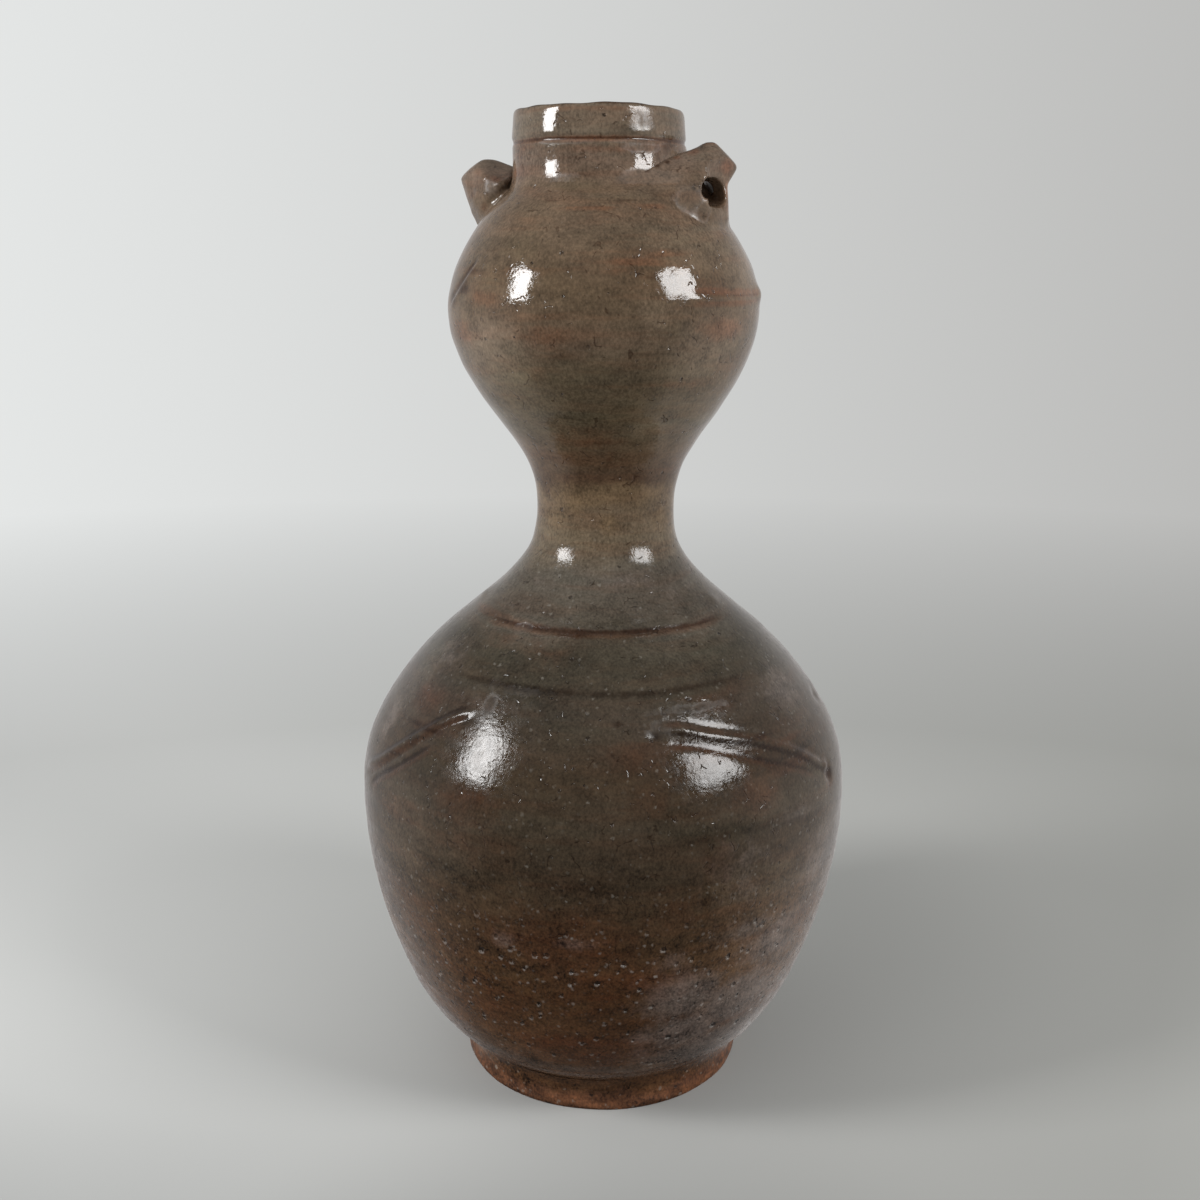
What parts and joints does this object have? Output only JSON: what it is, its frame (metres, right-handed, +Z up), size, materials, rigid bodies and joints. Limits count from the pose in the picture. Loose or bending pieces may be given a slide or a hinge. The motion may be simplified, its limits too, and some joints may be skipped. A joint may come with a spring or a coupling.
{
  "type": "gourd vase",
  "caption": "Double-gourd stoneware vase with a pinched waist, a short upright mouth collar, small lug ears on its shoulder and a bare turned foot ring.",
  "frame": {"origin": "centre of the foot ring's resting face", "axes": "+Z up along the turning axis; the ears sit on the +X and -X sides"},
  "size_m": [0.1388, 0.1388, 0.27],
  "materials": {
    "glaze": "glossy translucent grey-olive glaze over brown clay, with reddish bands, dark pits and pale specks",
    "bare_clay": "unglazed orange-brown stoneware with pale grit, matte"
  },
  "bodies": {
    "root": {"foot_ring": "bare_clay", "lower_bulb": "glaze", "upper_bulb": "glaze", "mouth_collar": "glaze", "ear_left": "glaze", "ear_right": "glaze"}
  },
  "joints": []
}
